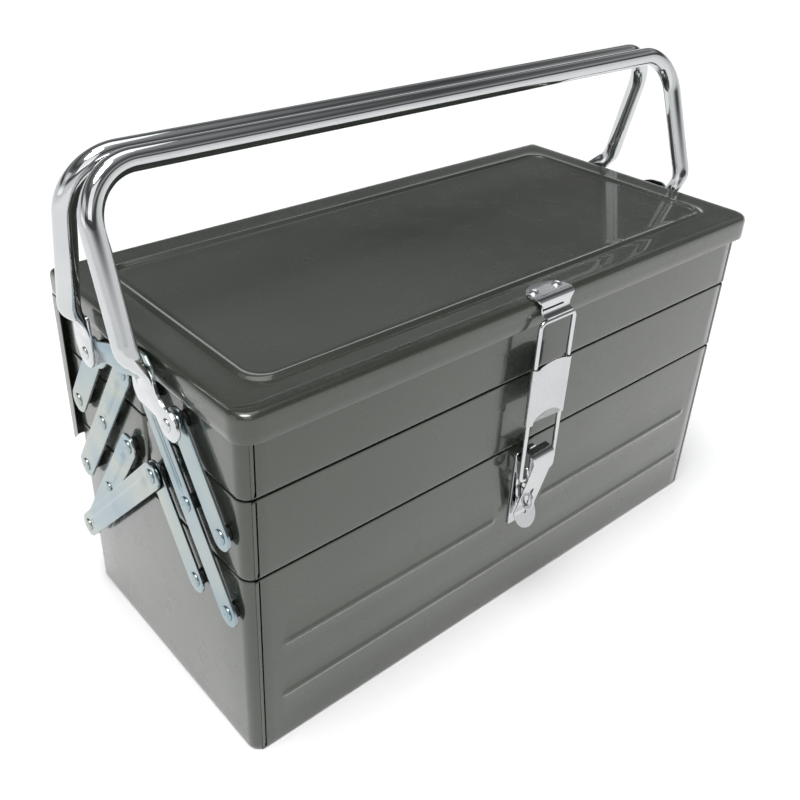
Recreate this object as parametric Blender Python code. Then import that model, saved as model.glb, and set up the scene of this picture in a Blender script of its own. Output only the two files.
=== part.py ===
"""Three-tier cantilever box: base, four swing-out trays, one-piece lid and rear panel,
link straps, two folding tube handles and a wire-bail latch. Metres, +Z up.
Origin: centre of the underside of the base. +X is the long side, -Y is the front with the latch."""
import math
import bmesh
import bpy
from mathutils import Matrix, Vector

for old in list(bpy.data.objects):
    bpy.data.objects.remove(old, do_unlink=True)

# ---------------------------------------------------------------- driving sizes (millimetres)
HALF_W = 215.0          # half length of the base and trays
HALF_D = 99.5           # half depth
SHEET = 0.7             # sheet steel
GAP = 0.3               # clearance between neighbouring pieces
SPLIT = 0.5             # half of the gap between front and rear trays
CORNER_R = 8.0          # upright corner radius
BASE_TOP = 133.0        # rim of the base
PITCH = 52.7            # height of one tray tier
MID_FLOOR = BASE_TOP + GAP
MID_RIM = MID_FLOOR + PITCH - GAP
TOP_FLOOR = MID_FLOOR + PITCH
TOP_RIM = 227.0         # rim of the top trays, under the lid
REAR_RIM = 221.5        # rear wall of the rear top tray, lower so that the cover clears it

LID_HALF_W = 218.3
LID_FRONT = -105.5
LID_TOP = 240.3
LID_EDGE = 223.6        # lower edge of the lid's skirt
PANEL_OUT = 104.0       # outer face of the rear panel
PANEL_LOW = 118.2       # lower edge of the rear panel
FLANGE_IN = 95.5        # front edge of the rear panel's side flanges
HINGE_Y, HINGE_Z = 105.5, 115.5
HINGE_HALF = 195.0

LINK_H, LINK_V = 35.8, 51.9             # one link: inward run and rise
ROW = (106.9, 106.9 + LINK_V, 106.9 + 2 * LINK_V)
FRONT_LONG_Y = -85.8
FRONT_LOW_Y = -52.7
FRONT_UP_Y = -83.6      # on the middle tray
REAR_LONG_Y = 83.7
REAR_LOW_Y = 51.8
REAR_UP_Y = 80.3        # on the middle tray
STRAP_W = 16.6

WALL_X = HALF_W
STRAP_IN, STRAP_OUT = 218.6, 220.2
HEAD_OUT = 221.6
CROSS_IN, CROSS_OUT, CROSS_HEAD = 221.9, 223.4, 224.8
TONGUE_IN, TONGUE_OUT, TONGUE_HEAD = 223.7, 225.7, 227.3
TUBE_X = 235.2
TUBE_R = 6.2
BEND_R = 30.0
FRONT_GRIP, FRONT_LEG = (-1.4, 332.7), (-31.1, 250.0)   # (y, z) of the grip, and where the leg starts to flatten
REAR_GRIP, REAR_LEG = (15.2, 332.3), (32.8, 250.0)

LATCH_P = (-110.0, 119.5)               # lever pivot (y, z)
LATCH_Q = (-110.5, 113.5)               # bail pivot on the lever
BAIL_X = 15.0
BAIL_R = 1.5
BAIL_TOP = (-110.5, 227.5)

MM = 0.001


# ---------------------------------------------------------------- materials
def material(name, rgb, metallic, rough):
    m = bpy.data.materials.new(name)
    m.use_nodes = True
    b = m.node_tree.nodes["Principled BSDF"]
    b.inputs["Base Color"].default_value = (*rgb, 1)
    b.inputs["Metallic"].default_value = metallic
    b.inputs["Roughness"].default_value = rough
    m.diffuse_color = (*rgb, 1)
    return m


def paint(name):
    return material(name + "_paint", (0.115, 0.125, 0.115), 0.35, 0.34)


def zinc(name):
    return material(name + "_zinc", (0.62, 0.64, 0.66), 1.0, 0.3)


def chrome(name):
    return material(name + "_chrome", (0.86, 0.87, 0.88), 1.0, 0.08)


# ---------------------------------------------------------------- mesh helpers
def add(name, bm, mat, smooth=True):
    bmesh.ops.remove_doubles(bm, verts=bm.verts, dist=1e-7)
    bmesh.ops.recalc_face_normals(bm, faces=bm.faces)
    me = bpy.data.meshes.new(name)
    bm.to_mesh(me)
    bm.free()
    ob = bpy.data.objects.new(name, me)
    bpy.context.scene.collection.objects.link(ob)
    if mat is not None:
        me.materials.append(mat)
    if smooth:
        me.shade_smooth()
        me.set_sharp_from_angle(angle=math.radians(32))
    return ob


def loft(rings, cap=True):
    """Closed surface through rings of points (mm), each ring with the same count."""
    bm = bmesh.new()
    rows = [[bm.verts.new(Vector(p) * MM) for p in ring] for ring in rings]
    n = len(rows[0])
    for a, b in zip(rows, rows[1:]):
        for i in range(n):
            j = (i + 1) % n
            bm.faces.new((a[i], a[j], b[j], b[i]))
    if cap:
        bm.faces.new(rows[0][::-1])
        bm.faces.new(rows[-1])
    return bm


def rounded(x0, x1, y0, y1, radii, inset, steps=3):
    """Rounded rectangle, counter-clockwise from the +X -Y corner. radii: (x1y0, x1y1, x0y1, x0y0)."""
    x0, x1, y0, y1 = x0 + inset, x1 - inset, y0 + inset, y1 - inset
    out = []
    corners = ((x1, y0, -90), (x1, y1, 0), (x0, y1, 90), (x0, y0, 180))
    for (cx, cy, a0), r in zip(corners, radii):
        r = max(r - inset, 0.25)
        sx = 1 if cx == x1 else -1
        sy = 1 if cy == y1 else -1
        for k in range(steps + 1):
            a = math.radians(a0 + 90 * k / steps)
            out.append((cx - sx * r + r * math.cos(a), cy - sy * r + r * math.sin(a)))
    return out


def pan(x0, x1, y0, y1, z0, z1, radii, rim=None, hem=1.9, hem_h=9.0):
    """Open sheet-metal pan with a small bottom radius and a hemmed rim. rim(y, z) may lower the rim."""
    rim = rim or (lambda y, z: z)
    prof = [
        (z0, 1.3, False), (z0 + 0.45, 0.35, False), (z0 + 1.5, 0.0, False),
        (z1, 0.0, True), (z1, hem, True), (z1 - hem_h, hem, True),
        (z1 - hem_h - 0.6, SHEET, True), (z0 + 2.4, SHEET, False), (z0 + SHEET, SHEET + 1.5, False),
    ]
    rings = []
    for z, inset, top in prof:
        ring = []
        for x, y in rounded(x0, x1, y0, y1, radii, inset):
            drop = rim(y, z1) - z1 if top else 0.0
            ring.append((x, y, z + drop))
        rings.append(ring)
    return loft(rings)


def box(x0, x1, y0, y1, z0, z1):
    return loft([[(x0, y0, z), (x1, y0, z), (x1, y1, z), (x0, y1, z)] for z in (z0, z1)])


def prism_x(outline, xa, xb):
    """Outline of (y, z) points extruded along X."""
    return loft([[(x, y, z) for y, z in outline] for x in (xa, xb)])


def turned_x(profile, cy, cz, side=1, seg=12):
    """Profile of (x, r) turned about an axis along X through (cy, cz). First and last points have r = 0."""
    bm = bmesh.new()
    rows = []
    for x, r in profile:
        if r == 0:
            rows.append([bm.verts.new(Vector((side * x, cy, cz)) * MM)])
        else:
            rows.append([
                bm.verts.new(Vector((side * x, cy + r * math.cos(2 * math.pi * k / seg),
                                     cz + r * math.sin(2 * math.pi * k / seg))) * MM)
                for k in range(seg)])
    for a, b in zip(rows, rows[1:]):
        for k in range(seg):
            j = (k + 1) % seg
            va = [a[0]] if len(a) == 1 else [a[k], a[j]]
            vb = [b[0]] if len(b) == 1 else [b[j], b[k]]
            bm.faces.new(va + vb)
    return bm


def boolean(ob, bm, operation="UNION"):
    """Applies a Boolean of ob with the mesh bm, and removes the cutter."""
    cutter = add(ob.name + "_tool", bm, None, smooth=False)
    cutter.hide_render = True
    cutter.display_type = "WIRE"
    mod = ob.modifiers.new("b", "BOOLEAN")
    mod.operation = operation
    mod.solver = "EXACT"
    mod.object = cutter
    bpy.context.view_layer.update()
    me = bpy.data.meshes.new_from_object(ob.evaluated_get(bpy.context.evaluated_depsgraph_get()))
    ob.modifiers.clear()
    old = ob.data
    ob.data = me
    bpy.data.meshes.remove(old)
    tool = cutter.data
    bpy.data.objects.remove(cutter, do_unlink=True)
    bpy.data.meshes.remove(tool)
    return ob


def stadium(p, q, width, seg=8):
    """Outline of a strap with round ends between pivots p and q (y, z)."""
    r = width / 2
    a = math.atan2(q[1] - p[1], q[0] - p[0])
    out = []
    for c, start in ((q, a - math.pi / 2), (p, a + math.pi / 2)):
        for k in range(seg + 1):
            t = start + math.pi * k / seg
            out.append((c[0] + r * math.cos(t), c[1] + r * math.sin(t)))
    return out


def strap(name, side, pivots, spacers):
    """One link strap: plate with round ends, a domed rivet at each pivot and a spacer washer behind those in spacers."""
    ob = add(name, prism_x(stadium(pivots[0], pivots[-1], STRAP_W), side * STRAP_IN, side * STRAP_OUT), zinc(name))
    mid = (STRAP_IN + STRAP_OUT) / 2
    for i, (y, z) in enumerate(pivots):
        head = [(mid, 5.2), (STRAP_OUT + 0.5, 5.0), (HEAD_OUT - 0.25, 3.4), (HEAD_OUT, 0)]
        back = [(WALL_X + GAP, 0), (WALL_X + GAP, 4.6), (mid, 4.6)] if i in spacers else [(mid, 0)]
        boolean(ob, turned_x(back + head, y, z, side))
    return ob


# ---------------------------------------------------------------- base and trays
R = CORNER_R
add("base_box", pan(-HALF_W, HALF_W, -HALF_D, HALF_D, 0, BASE_TOP, (R, R, R, R)), paint("base_box"))
front_r = (R, 3, 3, R)
rear_r = (3, R, R, 3)
add("front_mid_tray", pan(-HALF_W, HALF_W, -HALF_D, -SPLIT, MID_FLOOR, MID_RIM, front_r), paint("front_mid_tray"))
add("rear_mid_tray", pan(-HALF_W, HALF_W, SPLIT, HALF_D, MID_FLOOR, MID_RIM, rear_r), paint("rear_mid_tray"))
add("front_top_tray", pan(-HALF_W, HALF_W, -HALF_D, -SPLIT, TOP_FLOOR, TOP_RIM, front_r), paint("front_top_tray"))


def rear_rim(y, z):
    t = min(max((y - 85.0) / (HALF_D - 3.0 - 85.0), 0.0), 1.0)
    return z + (REAR_RIM - TOP_RIM) * t


add("rear_top_tray", pan(-HALF_W, HALF_W, SPLIT, HALF_D, TOP_FLOOR, TOP_RIM, rear_r, rim=rear_rim), paint("rear_top_tray"))

# ---------------------------------------------------------------- cover: lid with skirt, rear panel, side flanges
lid_r = (9, 2.5, 2.5, 9)
prof = [(LID_EDGE, 0.0), (LID_TOP - 2.2, 0.0), (LID_TOP - 0.7, 0.6), (LID_TOP, 2.2),
        (LID_TOP - SHEET, 2.4), (LID_TOP - 2.4, SHEET), (LID_EDGE, SHEET)]
bm = bmesh.new()
rows = []
for z, inset in prof:
    rows.append([bm.verts.new(Vector((x, y, z)) * MM)
                 for x, y in rounded(-LID_HALF_W, LID_HALF_W, LID_FRONT, PANEL_OUT, lid_r, inset)])
n = len(rows[0])
top_out, top_in = 3, 4
for k in range(len(rows)):
    a, b = rows[k], rows[(k + 1) % len(rows)]
    if k == top_out:
        continue
    for i in range(n):
        j = (i + 1) % n
        bm.faces.new((a[i], a[j], b[j], b[i]))
bm.faces.new(rows[top_out])
bm.faces.new(rows[top_in][::-1])
cover = add("lid_cover", bm, paint("lid_cover"))
inner = PANEL_OUT - SHEET
# the panel and its flanges are one folded strip, extruded downwards from inside the skirt
u = LID_HALF_W - SHEET
strip = [(-LID_HALF_W, FLANGE_IN), (-u, FLANGE_IN), (-u, inner), (u, inner), (u, FLANGE_IN), (LID_HALF_W, FLANGE_IN),
         (LID_HALF_W, PANEL_OUT - 1.0), (LID_HALF_W - 1.0, PANEL_OUT), (-LID_HALF_W + 1.0, PANEL_OUT), (-LID_HALF_W, PANEL_OUT - 1.0)]
boolean(cover, loft([[(x, y, z) for x, y in strip] for z in (PANEL_LOW, LID_EDGE + 8.0)]))

# ---------------------------------------------------------------- cover hinge
KN = 9
STEP = 2 * HINGE_HALF / KN


def knuckles(indices):
    spans = []
    for i in indices:
        a = -HINGE_HALF + i * STEP + (0.2 if i else 0)
        spans.append((a, -HINGE_HALF + (i + 1) * STEP - (0.2 if i < KN - 1 else 0)))
    return spans


base_leaf = add("hinge_leaf_base", box(-HINGE_HALF, HINGE_HALF, HALF_D + GAP, HALF_D + GAP + 1.0, 94.0, 112.0), zinc("hinge_leaf_base"))
cover_leaf = add("hinge_leaf_cover", box(-HINGE_HALF, HINGE_HALF, PANEL_OUT + GAP, PANEL_OUT + GAP + 0.9, 118.6, 132.0), zinc("hinge_leaf_cover"))
barrel = [(HINGE_Y + 2.2 * math.cos(2 * math.pi * k / 12), HINGE_Z + 2.2 * math.sin(2 * math.pi * k / 12)) for k in range(12)]
for a, b in knuckles(range(0, KN, 2)):
    boolean(base_leaf, prism_x(barrel, a, b))
    boolean(base_leaf, box(a, b, HALF_D + GAP, HINGE_Y - 1.0, 110.5, 114.2))
for a, b in knuckles(range(1, KN, 2)):
    boolean(cover_leaf, prism_x(barrel, a, b))
    boolean(cover_leaf, box(a, b, PANEL_OUT + GAP, PANEL_OUT + GAP + 0.9, HINGE_Z + 0.8, 120.0))
bore = [(HINGE_Y + 1.25 * math.cos(2 * math.pi * k / 12), HINGE_Z + 1.25 * math.sin(2 * math.pi * k / 12)) for k in range(12)]
for leaf in (base_leaf, cover_leaf):
    boolean(leaf, prism_x(bore, -HINGE_HALF - 5, HINGE_HALF + 5), "DIFFERENCE")
pin = [(HINGE_HALF + 2.2, 0), (HINGE_HALF + 2.2, 1.6), (HINGE_HALF + 0.4, 1.9), (HINGE_HALF + 0.4, 0.95),
       (-HINGE_HALF - 0.4, 0.95), (-HINGE_HALF - 0.4, 1.9), (-HINGE_HALF - 2.2, 1.6), (-HINGE_HALF - 2.2, 0)]
add("hinge_pin", turned_x(pin, HINGE_Y, HINGE_Z, 1, 12), zinc("hinge_pin"))


# ---------------------------------------------------------------- link straps
def up(y, z, n, toward):
    """The pivot n links above (y, z), leaning towards the middle of the box."""
    return (y + toward * n * LINK_H, z + n * LINK_V)


for tag, s in (("left", -1), ("right", 1)):
    b0 = (FRONT_LONG_Y, ROW[0])
    strap(f"front_long_strap_{tag}", s, [b0, up(*b0, 1, 1), up(*b0, 2, 1)], (0, 1, 2))
    c0 = (FRONT_LOW_Y, ROW[0])
    strap(f"front_lower_strap_{tag}", s, [c0, up(*c0, 1, 1)], (0, 1))
    a0 = (FRONT_UP_Y, ROW[1])
    strap(f"front_upper_strap_{tag}", s, [a0, up(*a0, 1, 1)], (0, 1))
    f0 = (REAR_LONG_Y, ROW[0])
    strap(f"rear_long_strap_{tag}", s, [f0, up(*f0, 1, -1), up(*f0, 2, -1)], (0, 1, 2))
    e0 = (REAR_LOW_Y, ROW[0])
    strap(f"rear_lower_strap_{tag}", s, [up(*e0, -1, -1), e0, up(*e0, 1, -1)], (1, 2))
    g0 = (REAR_UP_Y, ROW[1])
    strap(f"rear_upper_strap_{tag}", s, [g0, up(*g0, 1, -1)], (0, 1))
    # cross link from the front lower strap's upper pivot to the tail of the rear lower strap
    p, q = up(*c0, 1, 1), up(*e0, -1, -1)
    name = f"cross_link_{tag}"
    ob = add(name, prism_x(stadium(p, q, STRAP_W), s * CROSS_IN, s * CROSS_OUT), zinc(name))
    mid = (CROSS_IN + CROSS_OUT) / 2
    for y, z in (p, q):
        boolean(ob, turned_x([(mid, 0), (mid, 5.2), (CROSS_OUT + 0.5, 5.0), (CROSS_HEAD - 0.2, 3.4), (CROSS_HEAD, 0)], y, z, s))

A1 = up(FRONT_UP_Y, ROW[1], 1, 1)
G1 = up(REAR_UP_Y, ROW[1], 1, -1)
F2 = up(REAR_LONG_Y, ROW[0], 2, -1)


# ---------------------------------------------------------------- handles
def handle(name, grip, leg, feet, outline, rivets):
    """Bent tube: grip, two bends, two tilted legs that flatten and step inwards to a foot plate over the pivot.
    feet are (half width, half thickness, x, y, z) stations below the leg; outline is the foot plate (y, z)."""
    top, low = Vector((0, *grip)), Vector((0, *leg))
    down = (low - top).normalized()
    normal = Vector((1, 0, 0)).cross(down).normalized()   # across the handle's own plane
    if normal.y > 0:
        normal = -normal
    leg_len = (low - top).length

    def side_points(sx):
        pts = []                                          # (centre, tangent, half width, half thickness)
        cx = sx * (TUBE_X - BEND_R)
        for k in range(9):
            a = math.radians(90 * k / 8)
            c = Vector((cx + sx * BEND_R * math.sin(a), 0, 0)) + top + down * (BEND_R * (1 - math.cos(a)))
            t = Vector((sx * math.cos(a), 0, 0)) + down * math.sin(a)
            pts.append((c, t, TUBE_R, TUBE_R))
        pts.append((Vector((sx * TUBE_X, 0, 0)) + top + down * leg_len, down, TUBE_R, TUBE_R))
        for w, t_, x, y, z in feet:
            pts.append((Vector((sx * x, y, z)), down, w, t_))
        return pts

    left = [(c, -t, w, h) for c, t, w, h in side_points(-1)[::-1]]
    rings = []
    for c, t, w, h in left + side_points(1):
        t = t.normalized()
        wide = (normal - t * normal.dot(t)).normalized()
        thick = t.cross(wide)
        rings.append([tuple(c + wide * (w * math.cos(2 * math.pi * (k + 0.5) / 12))
                            + thick * (h * math.sin(2 * math.pi * (k + 0.5) / 12) / math.sin(math.radians(75))))
                      for k in range(12)])
    ob = add(name, loft(rings), chrome(name))
    for s_ in (-1, 1):
        boolean(ob, prism_x(outline, s_ * TONGUE_IN, s_ * TONGUE_OUT))
        for y, z in rivets:
            mid = (TONGUE_IN + TONGUE_OUT) / 2
            boolean(ob, turned_x([(mid, 0), (mid, 4.8), (TONGUE_OUT + 0.6, 4.6), (TONGUE_HEAD - 0.2, 3.0), (TONGUE_HEAD, 0)], y, z, s_))
    return ob


HOOK_RIVET = (-25.5, 227.0)
handle("front_handle", FRONT_GRIP, FRONT_LEG,
       ((6.9, 5.4, 233.4, -32.6, 244.0), (8.2, 3.6, 229.6, -31.2, 237.5), (9.6, 2.0, 226.4, -28.6, 230.5), (10.6, 0.9, 224.8, -26.6, 223.0)),
       [(-14.6, 231.0), (-13.4, 224.5), (-13.6, 216.4), (-18.3, 210.6), (-26.1, 210.8), (-36.9, 210.0), (-41.7, 204.0), (-46.8, 201.8),
        (-53.6, 202.3), (-58.3, 206.6), (-59.4, 211.0), (-56.6, 216.8), (-51.6, 220.0), (-46.0, 219.6), (-40.4, 222.7), (-36.5, 231.6), (-26.4, 236.0)],
       [A1, HOOK_RIVET])
handle("rear_handle", REAR_GRIP, REAR_LEG,
       ((6.9, 5.4, 233.6, 34.6, 244.0), (8.2, 3.6, 229.8, 39.0, 238.5), (9.6, 2.0, 226.4, 43.4, 232.5), (10.0, 0.9, 224.8, 45.6, 224.0)),
       [(36.2, 236.0), (36.0, 216.8), (35.8, 206.5), (39.5, 202.4), (46.5, 202.0), (51.5, 205.0), (53.5, 209.0), (56.5, 214.0), (56.8, 229.0), (52.0, 236.0)],
       [G1])

# hook plates on the front handle: they reach back over the rear strap's top rivet, with a nub that hangs behind it
plate = [(-21.5, 221.4), (-8.7, 220.0), (4.5, 215.2), (18.0, 214.1), (22.4, 213.1), (24.5, 211.7), (25.4, 209.9), (28.1, 207.4),
         (31.4, 205.4), (35.0, 204.5), (38.2, 205.8), (39.1, 212.3), (40.9, 218.7), (36.5, 220.8), (7.1, 232.1), (-16.0, 240.2),
         (-26.0, 240.6), (-32.0, 236.0), (-34.0, 228.6), (-31.0, 223.0)]
for tag, s in (("left", -1), ("right", 1)):
    add(f"hook_plate_{tag}", prism_x(plate, s * CROSS_IN, s * CROSS_OUT), zinc(f"hook_plate_{tag}"))

# ---------------------------------------------------------------- latch
py, pz = LATCH_P
bp = add("latch_base_plate", box(-9.2, 9.2, -HALF_D - GAP - 1.1, -HALF_D - GAP, 68.5, 127.0), chrome("latch_base_plate"))
ear = [(-HALF_D - GAP - 0.6, 112.0), (-HALF_D - GAP - 0.6, 121.5), (-106.0, 123.4), (-110.2, 123.4), (-112.2, 121.9), (-112.8, 119.5),
       (-111.9, 116.6), (-108.0, 112.0)]
for s in (-1, 1):
    boolean(bp, prism_x(ear, s * 7.4, s * 8.5))
hole = [(py + 1.35 * math.cos(2 * math.pi * k / 12), pz + 1.35 * math.sin(2 * math.pi * k / 12)) for k in range(12)]
boolean(bp, prism_x(hole, -12, 12), "DIFFERENCE")
eye = [(-HALF_D - GAP - 0.6, 81.5)] + [(-105.0 - 7.5 * math.cos(math.radians(a)), 89.0 + 7.5 * math.sin(math.radians(a))) for a in range(-90, 91, 18)] + [(-HALF_D - GAP - 0.6, 96.5)]
boolean(bp, prism_x(eye, -0.7, 0.7))
boolean(bp, prism_x([(-106.6 + 3.9 * math.cos(2 * math.pi * k / 12), 89.0 + 4.3 * math.sin(2 * math.pi * k / 12)) for k in range(12)], -2, 2), "DIFFERENCE")
pin = [(11.0, 0), (11.0, 2.0), (10.3, 2.2), (10.3, 1.05), (-10.3, 1.05), (-10.3, 2.2), (-11.0, 2.0), (-11.0, 0)]
add("latch_pivot_pin", turned_x(pin, py, pz, 1, 12), zinc("latch_pivot_pin"))
lever_prof = [(-107.5, 133.2), (-110.8, 133.4), (-114.4, 132.0), (-116.6, 128.8), (-116.4, 125.6), (-105.9, 82.6), (-111.4, 69.8),
              (-110.5, 69.3), (-104.7, 82.5), (-115.3, 125.7), (-115.5, 128.5), (-113.8, 131.0), (-110.7, 132.3), (-107.5, 132.1)]
lever = add("latch_lever", prism_x(lever_prof, -10.0, 10.0), chrome("latch_lever"))
cheek = [(-116.4, 126.0), (-115.8, 130.0), (-113.8, 132.0), (-110.6, 132.8), (-107.8, 132.6), (-105.4, 124.0), (-104.6, 112.5), (-106.5, 109.5),
         (-111.8, 109.2)]
for s in (-1, 1):
    boolean(lever, prism_x(cheek, s * 8.9, s * 10.0))
boolean(lever, prism_x(hole, -12, 12), "DIFFERENCE")
boolean(lever, box(-1.5, 1.5, -116.0, -101.5, 77.5, 101.0), "DIFFERENCE")


def tube(points, r, seg=8):
    """Round wire through points (mm), with flat ends."""
    pts = [Vector(p) for p in points]
    rings = []
    ref = Vector((0, 1, 0))
    for i, p in enumerate(pts):
        a = (pts[i] - pts[i - 1]).normalized() if i else None
        b = (pts[i + 1] - pts[i]).normalized() if i < len(pts) - 1 else None
        t = ((a or b) + (b or a)).normalized()
        grow = 1.0
        if a is not None and b is not None:
            grow = 1.0 / max(math.cos(a.angle(b) / 2), 0.5)
        u = (ref - t * ref.dot(t)).normalized()
        v = t.cross(u)
        rings.append([tuple(p + u * (r * math.cos(2 * math.pi * k / seg)) + v * (r * grow * math.sin(2 * math.pi * k / seg)))
                      for k in range(seg)])
    return loft(rings)


def leg_y(z):
    return LATCH_Q[0] + (BAIL_TOP[0] - LATCH_Q[0]) * (z - LATCH_Q[1]) / (BAIL_TOP[1] - LATCH_Q[1])


def corner(sx, y, z, up_, r):
    """Quarter bend in the bail between a leg at sx*BAIL_X and a bar along X."""
    out = []
    for k in range(5):
        a = math.radians(90 * k / 4)
        out.append((sx * (BAIL_X - r + r * math.cos(a)), y, z - up_ * r + up_ * r * math.sin(a)))
    return out


half = [(-10.3, LATCH_Q[0], LATCH_Q[1])] + corner(-1, LATCH_Q[0], LATCH_Q[1], -1, 2.6)[::-1][1:]
half += [(x, leg_y(z), z) for x, y, z in corner(-1, 0, BAIL_TOP[1], 1, 3.4)]
wire = half + [(-x, y, z) for x, y, z in half[::-1]]
add("latch_bail", tube(wire, BAIL_R), chrome("latch_bail"))
gx, gw = BAIL_X + BAIL_R + GAP, 0.8
sleeve = [(-gx - gw, -BAIL_R - GAP - gw), (gx + gw, -BAIL_R - GAP - gw), (gx + gw, BAIL_R + GAP + gw), (gx - 3.4, BAIL_R + GAP + gw),
          (gx - 3.4, BAIL_R + GAP), (gx, BAIL_R + GAP), (gx, -BAIL_R - GAP), (-gx, -BAIL_R - GAP), (-gx, BAIL_R + GAP),
          (-gx + 3.4, BAIL_R + GAP), (-gx + 3.4, BAIL_R + GAP + gw), (-gx - gw, BAIL_R + GAP + gw)]
add("latch_sleeve", loft([[(x, y + leg_y(z), z) for x, y in sleeve] for z in (157.0, 197.0)]), chrome("latch_sleeve"))
hook = [(-90.0, LID_TOP + 0.3), (-90.0, LID_TOP + 1.4), (-106.5, LID_TOP + 1.4), (-108.3, LID_TOP), (-108.7, 236.5), (-108.0, 233.4),
        (-108.9, 231.6), (-111.9, 230.6), (-112.1, 229.5), (-108.5, 229.6), (-106.5, 231.2), (-106.1, 233.6), (-106.8, 236.5),
        (-106.5, LID_TOP - 0.9), (-105.3, LID_TOP + 0.3)]
strike = add("latch_strike", prism_x(hook, -15.5, 15.5), chrome("latch_strike"))


def dome_z(cx, cy, z0, z1, r, seg=12):
    rings = []
    for z, q in ((z0, r), (z0 + (z1 - z0) * 0.6, r * 0.92), (z1 - 0.1, r * 0.55), (z1, 0.3)):
        rings.append([(cx + q * math.cos(2 * math.pi * k / seg), cy + q * math.sin(2 * math.pi * k / seg), z) for k in range(seg)])
    return loft(rings)


for s in (-1, 1):
    boolean(strike, dome_z(s * 10.5, -97.3, LID_TOP + 0.9, LID_TOP + 2.8, 3.2))
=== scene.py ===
import math
import bmesh
import bpy
from mathutils import Matrix, Vector


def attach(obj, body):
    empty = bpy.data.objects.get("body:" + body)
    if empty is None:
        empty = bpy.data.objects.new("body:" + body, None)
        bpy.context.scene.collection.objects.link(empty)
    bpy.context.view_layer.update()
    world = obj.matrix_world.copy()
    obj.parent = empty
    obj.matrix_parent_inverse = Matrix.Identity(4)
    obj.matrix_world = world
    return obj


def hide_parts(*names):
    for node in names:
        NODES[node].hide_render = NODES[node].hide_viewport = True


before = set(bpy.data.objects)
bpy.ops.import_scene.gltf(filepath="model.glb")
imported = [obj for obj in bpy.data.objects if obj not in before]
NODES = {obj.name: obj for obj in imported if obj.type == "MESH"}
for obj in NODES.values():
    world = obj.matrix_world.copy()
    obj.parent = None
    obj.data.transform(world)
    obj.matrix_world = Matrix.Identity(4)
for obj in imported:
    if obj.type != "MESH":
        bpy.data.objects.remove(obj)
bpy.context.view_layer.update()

MM = 0.001

# sizes in millimetres, the same as the CAD's
HW, HD, SHEET, GAP, SPLIT = 215.0, 99.5, 0.7, 0.3, 0.5
BASE_TOP, PITCH = 133.0, 52.7
MID_FLOOR = BASE_TOP + GAP
MID_RIM = MID_FLOOR + PITCH - GAP
TOP_FLOOR = MID_FLOOR + PITCH
TOP_RIM, REAR_RIM = 227.0, 221.5
LID_HW, LID_FRONT, LID_TOP, LID_EDGE = 218.3, -105.5, 240.3, 223.6
PANEL_OUT, PANEL_LOW, FLANGE_IN = 104.0, 118.2, 95.5
LH, LV = 35.8, 51.9
ROW = (106.9, 106.9 + LV, 106.9 + 2 * LV)
STRAP_W = 16.6
WALL_X = 215.0
STRAP_IN, STRAP_OUT, HEAD_OUT = 218.6, 220.2, 221.6
CROSS_IN, CROSS_OUT, CROSS_HEAD = 221.9, 223.4, 224.8
TONGUE_IN, TONGUE_OUT, TONGUE_HEAD = 223.7, 225.7, 227.3


# ================================================================ materials
class Net:
    """Small helper for building a node tree."""
    def __init__(self, name):
        self.m = bpy.data.materials.new(name)
        self.m.use_nodes = True
        self.t = self.m.node_tree
        self.bsdf = self.t.nodes["Principled BSDF"]
        self.coord = self.t.nodes.new("ShaderNodeTexCoord")

    def new(self, kind, **values):
        n = self.t.nodes.new(kind)
        for k, v in values.items():
            if hasattr(n, k):
                setattr(n, k, v)
            else:
                n.inputs[k.replace("_", " ")].default_value = v
        return n

    def link(self, a, b):
        self.t.links.new(a, b)

    def noise(self, scale, detail=3.0, rough=0.5, stretch=None):
        n = self.new("ShaderNodeTexNoise")
        n.inputs["Scale"].default_value = scale
        n.inputs["Detail"].default_value = detail
        n.inputs["Roughness"].default_value = rough
        src = self.coord.outputs["Object"]
        if stretch:
            mp = self.new("ShaderNodeMapping")
            mp.inputs["Scale"].default_value = stretch
            self.link(src, mp.inputs["Vector"])
            src = mp.outputs["Vector"]
        self.link(src, n.inputs["Vector"])
        return n.outputs["Fac"]

    def ramp(self, fac, stops):
        r = self.new("ShaderNodeValToRGB")
        els = r.color_ramp.elements
        while len(els) < len(stops):
            els.new(0.5)
        for e, (pos, c) in zip(els, stops):
            e.position = pos
            e.color = (*c, 1) if len(c) == 3 else c
        self.link(fac, r.inputs["Fac"])
        return r.outputs["Color"]

    def mix(self, fac, a, b, mode="MIX"):
        n = self.new("ShaderNodeMix")
        n.data_type = "RGBA"
        n.blend_type = mode
        for sock, v in (("Factor", fac), ("A", a), ("B", b)):
            target = [i for i in n.inputs if i.name == sock and i.enabled][0] if sock == "Factor" else [i for i in n.inputs if i.name == sock and i.type == "RGBA"][0]
            if isinstance(v, (int, float)):
                target.default_value = v
            elif isinstance(v, tuple):
                target.default_value = (*v, 1)
            else:
                self.link(v, target)
        return [o for o in n.outputs if o.type == "RGBA"][0]

    def span(self, fac, lo, hi):
        n = self.new("ShaderNodeMapRange")
        n.inputs["From Min"].default_value = 0.3
        n.inputs["From Max"].default_value = 0.7
        n.inputs["To Min"].default_value = lo
        n.inputs["To Max"].default_value = hi
        self.link(fac, n.inputs["Value"])
        return n.outputs["Result"]

    def bump(self, height, strength, distance=0.001, after=None):
        n = self.new("ShaderNodeBump")
        n.inputs["Strength"].default_value = strength
        n.inputs["Distance"].default_value = distance
        self.link(height, n.inputs["Height"])
        if after is not None:
            self.link(after, n.inputs["Normal"])
        return n.outputs["Normal"]


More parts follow.
